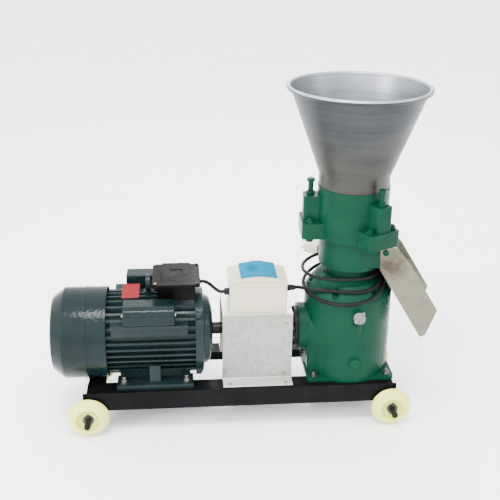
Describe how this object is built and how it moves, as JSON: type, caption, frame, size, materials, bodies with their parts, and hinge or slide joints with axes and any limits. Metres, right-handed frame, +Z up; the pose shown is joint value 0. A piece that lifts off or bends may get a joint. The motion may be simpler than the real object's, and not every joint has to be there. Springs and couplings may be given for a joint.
{
  "type": "feed pellet mill",
  "caption": "Small flat-die feed pellet mill: motor, coupling guard, bevel gearbox, roller head, hopper and discharge chute on a wheeled frame.",
  "frame": {"origin": "on the floor, below the middle of the whole machine", "axes": "+X along the machine from the motor towards the discharge chute, +Z up, so -Y is the side seen in the picture"},
  "size_m": [0.8764, 0.3108, 0.7699],
  "materials": {
    "frame_black": "satin black paint",
    "pin_steel": "dull steel",
    "wheel_plastic": "pale cast nylon",
    "motor_paint": "slate green-grey paint",
    "motor_sheet": "slate green-grey paint",
    "core_steel": "stacked steel sheets",
    "copper_wire": "varnished copper wire",
    "bearing_steel": "polished",
    "shaft_steel": "turned",
    "dark_plastic": "moulded",
    "box_dark": "moulded",
    "lid_dark": "moulded, slightly glossy",
    "capacitor_case": "smooth",
    "screw_steel": "yellow zinc plated",
    "plated_steel": "zinc plated",
    "plate_red": "bare red plate",
    "cable_black": "smooth sheath",
    "coupling_iron": "machined",
    "spider_rubber": "moulded",
    "galvanised_sheet": "dull grey sheet",
    "switch_ivory": "moulded ivory",
    "gland_black": "moulded",
    "window_clear": "clear blue plastic",
    "breaker_case": "moulded",
    "mill_green": "green paint",
    "cap_black": "black paint",
    "filler_silver": "cast",
    "gear_steel": "machined, oiled",
    "bolt_green": "green paint over steel",
    "die_steel": "drilled and ground",
    "roller_steel": "grooved",
    "spun_aluminium": "spun, fine rings",
    "plug_cream": "moulded cream"
  },
  "bodies": {
    "machine": {"rail_front": "frame_black", "rail_rear": "frame_black", "cross_members": "frame_black", "axles": "frame_black", "axle_pins": "pin_steel", "motor_housing": "motor_paint", "drive_end_shield": "motor_paint", "fan_end_shield": "motor_paint", "fan_cover": "motor_sheet", "stator_core": "core_steel", "stator_windings": "copper_wire", "shaft_bearings": "bearing_steel", "terminal_box": "box_dark", "terminal_lid": "lid_dark", "capacitor_covers": "motor_sheet", "capacitors": "capacitor_case", "cover_screws": "screw_steel", "lifting_eye": "plated_steel", "rating_plate": "plate_red", "foot_bolts": "plated_steel", "link_cable": "cable_black", "coupling_guard": "galvanised_sheet", "switch_box": "switch_ivory", "switch_glands": "gland_black", "switch_lid": "switch_ivory", "circuit_breaker": "breaker_case", "gearbox_housing": "mill_green", "gearbox_cover": "mill_green", "bearing_cap": "cap_black", "oil_filler_cap": "filler_silver", "painted_bolts": "bolt_green", "die_chamber": "mill_green", "discharge_chute": "galvanised_sheet", "roller_chamber": "mill_green", "power_cord": "cable_black", "power_plug": "plug_cream"},
    "wheel_front_left": {"wheel_front_left": "wheel_plastic"},
    "wheel_front_right": {"wheel_front_right": "wheel_plastic"},
    "wheel_rear_left": {"wheel_rear_left": "wheel_plastic"},
    "wheel_rear_right": {"wheel_rear_right": "wheel_plastic"},
    "table": {"main_shaft": "shaft_steel", "crown_gear": "gear_steel", "die": "die_steel"},
    "drive_line": {"motor_shaft": "shaft_steel", "rotor_core": "core_steel", "cooling_fan": "dark_plastic", "motor_coupling": "coupling_iron", "coupling_spider": "spider_rubber", "gearbox_coupling": "coupling_iron", "pinion_shaft": "shaft_steel"},
    "carrier": {"roller_carrier": "gear_steel"},
    "roller_left": {"roller_left": "roller_steel"},
    "roller_front": {"roller_front": "roller_steel"},
    "roller_rear": {"roller_rear": "roller_steel"},
    "pressure_screw_left": {"pressure_screw_left": "bolt_green"},
    "pressure_screw_front": {"pressure_screw_front": "bolt_green"},
    "pressure_screw_rear": {"pressure_screw_rear": "bolt_green"},
    "hopper": {"hopper": "spun_aluminium"},
    "switch_window": {"switch_window": "window_clear"},
    "breaker_toggle": {"breaker_toggle": "dark_plastic"}
  },
  "joints": [
    {"name": "front_left_wheel_spin", "type": "hinge", "parent": "machine", "child": "wheel_front_left", "pos_m": [-0.36118, -0.13, 0.0465], "axis": [0, 1, 0], "continuous": true},
    {"name": "front_right_wheel_spin", "type": "hinge", "parent": "machine", "child": "wheel_front_right", "pos_m": [0.32882, -0.13, 0.0465], "axis": [0, 1, 0], "continuous": true},
    {"name": "rear_left_wheel_spin", "type": "hinge", "parent": "machine", "child": "wheel_rear_left", "pos_m": [-0.36118, 0.13, 0.0465], "axis": [0, 1, 0], "continuous": true},
    {"name": "rear_right_wheel_spin", "type": "hinge", "parent": "machine", "child": "wheel_rear_right", "pos_m": [0.32882, 0.13, 0.0465], "axis": [0, 1, 0], "continuous": true},
    {"name": "table_spin", "type": "hinge", "parent": "machine", "child": "table", "pos_m": [0.23482, 0, 0.203], "axis": [0, 0, 1], "continuous": true},
    {"name": "drive_spin", "type": "hinge", "parent": "machine", "child": "drive_line", "pos_m": [-0.01618, 0, 0.203], "axis": [1, 0, 0], "continuous": true},
    {"name": "roller_lift", "type": "slide", "parent": "machine", "child": "carrier", "axis": [0, 0, 1], "range_m": [0, 0.004]},
    {"name": "left_roller_spin", "type": "hinge", "parent": "carrier", "child": "roller_left", "pos_m": [0.23482, 0, 0.4664], "axis": [-0.9994, 0.0349, 0], "continuous": true},
    {"name": "front_roller_spin", "type": "hinge", "parent": "carrier", "child": "roller_front", "pos_m": [0.23482, 0, 0.4664], "axis": [0.4695, -0.8829, 0], "continuous": true},
    {"name": "rear_roller_spin", "type": "hinge", "parent": "carrier", "child": "roller_rear", "pos_m": [0.23482, 0, 0.4664], "axis": [0.5299, 0.848, 0], "continuous": true},
    {"name": "left_screw_turn", "type": "hinge", "parent": "carrier", "child": "pressure_screw_left", "pos_m": [0.13918, 0.00334, 0.52], "axis": [0, 0, 1], "range_deg": [0, 824]},
    {"name": "front_screw_turn", "type": "hinge", "parent": "carrier", "child": "pressure_screw_front", "pos_m": [0.27975, -0.0845, 0.52], "axis": [0, 0, 1], "range_deg": [0, 824]},
    {"name": "rear_screw_turn", "type": "hinge", "parent": "carrier", "child": "pressure_screw_rear", "pos_m": [0.28553, 0.08116, 0.52], "axis": [0, 0, 1], "range_deg": [0, 824]},
    {"name": "hopper_lift", "type": "slide", "parent": "machine", "child": "hopper", "axis": [0, 0, 1], "range_m": [0, 0.06]},
    {"name": "window_hinge", "type": "hinge", "parent": "machine", "child": "switch_window", "pos_m": [0.02432, 0.0409, 0.3508], "axis": [-1, 0, 0], "range_deg": [0, 110]},
    {"name": "toggle_hinge", "type": "hinge", "parent": "machine", "child": "breaker_toggle", "pos_m": [0.02232, -0.001, 0.331], "axis": [-1, 0, 0], "range_deg": [0, 56]}
  ],
  "couplings": [
    {"joint": "drive_spin", "follows": "table_spin", "ratio": -4},
    {"joint": "left_roller_spin", "follows": "table_spin", "ratio": 1.3667},
    {"joint": "front_roller_spin", "follows": "table_spin", "ratio": 1.3667},
    {"joint": "rear_roller_spin", "follows": "table_spin", "ratio": 1.3667},
    {"joint": "left_screw_turn", "follows": "roller_lift", "rad_per_m": 3590.4},
    {"joint": "front_screw_turn", "follows": "roller_lift", "rad_per_m": 3590.4},
    {"joint": "rear_screw_turn", "follows": "roller_lift", "rad_per_m": 3590.4}
  ]
}
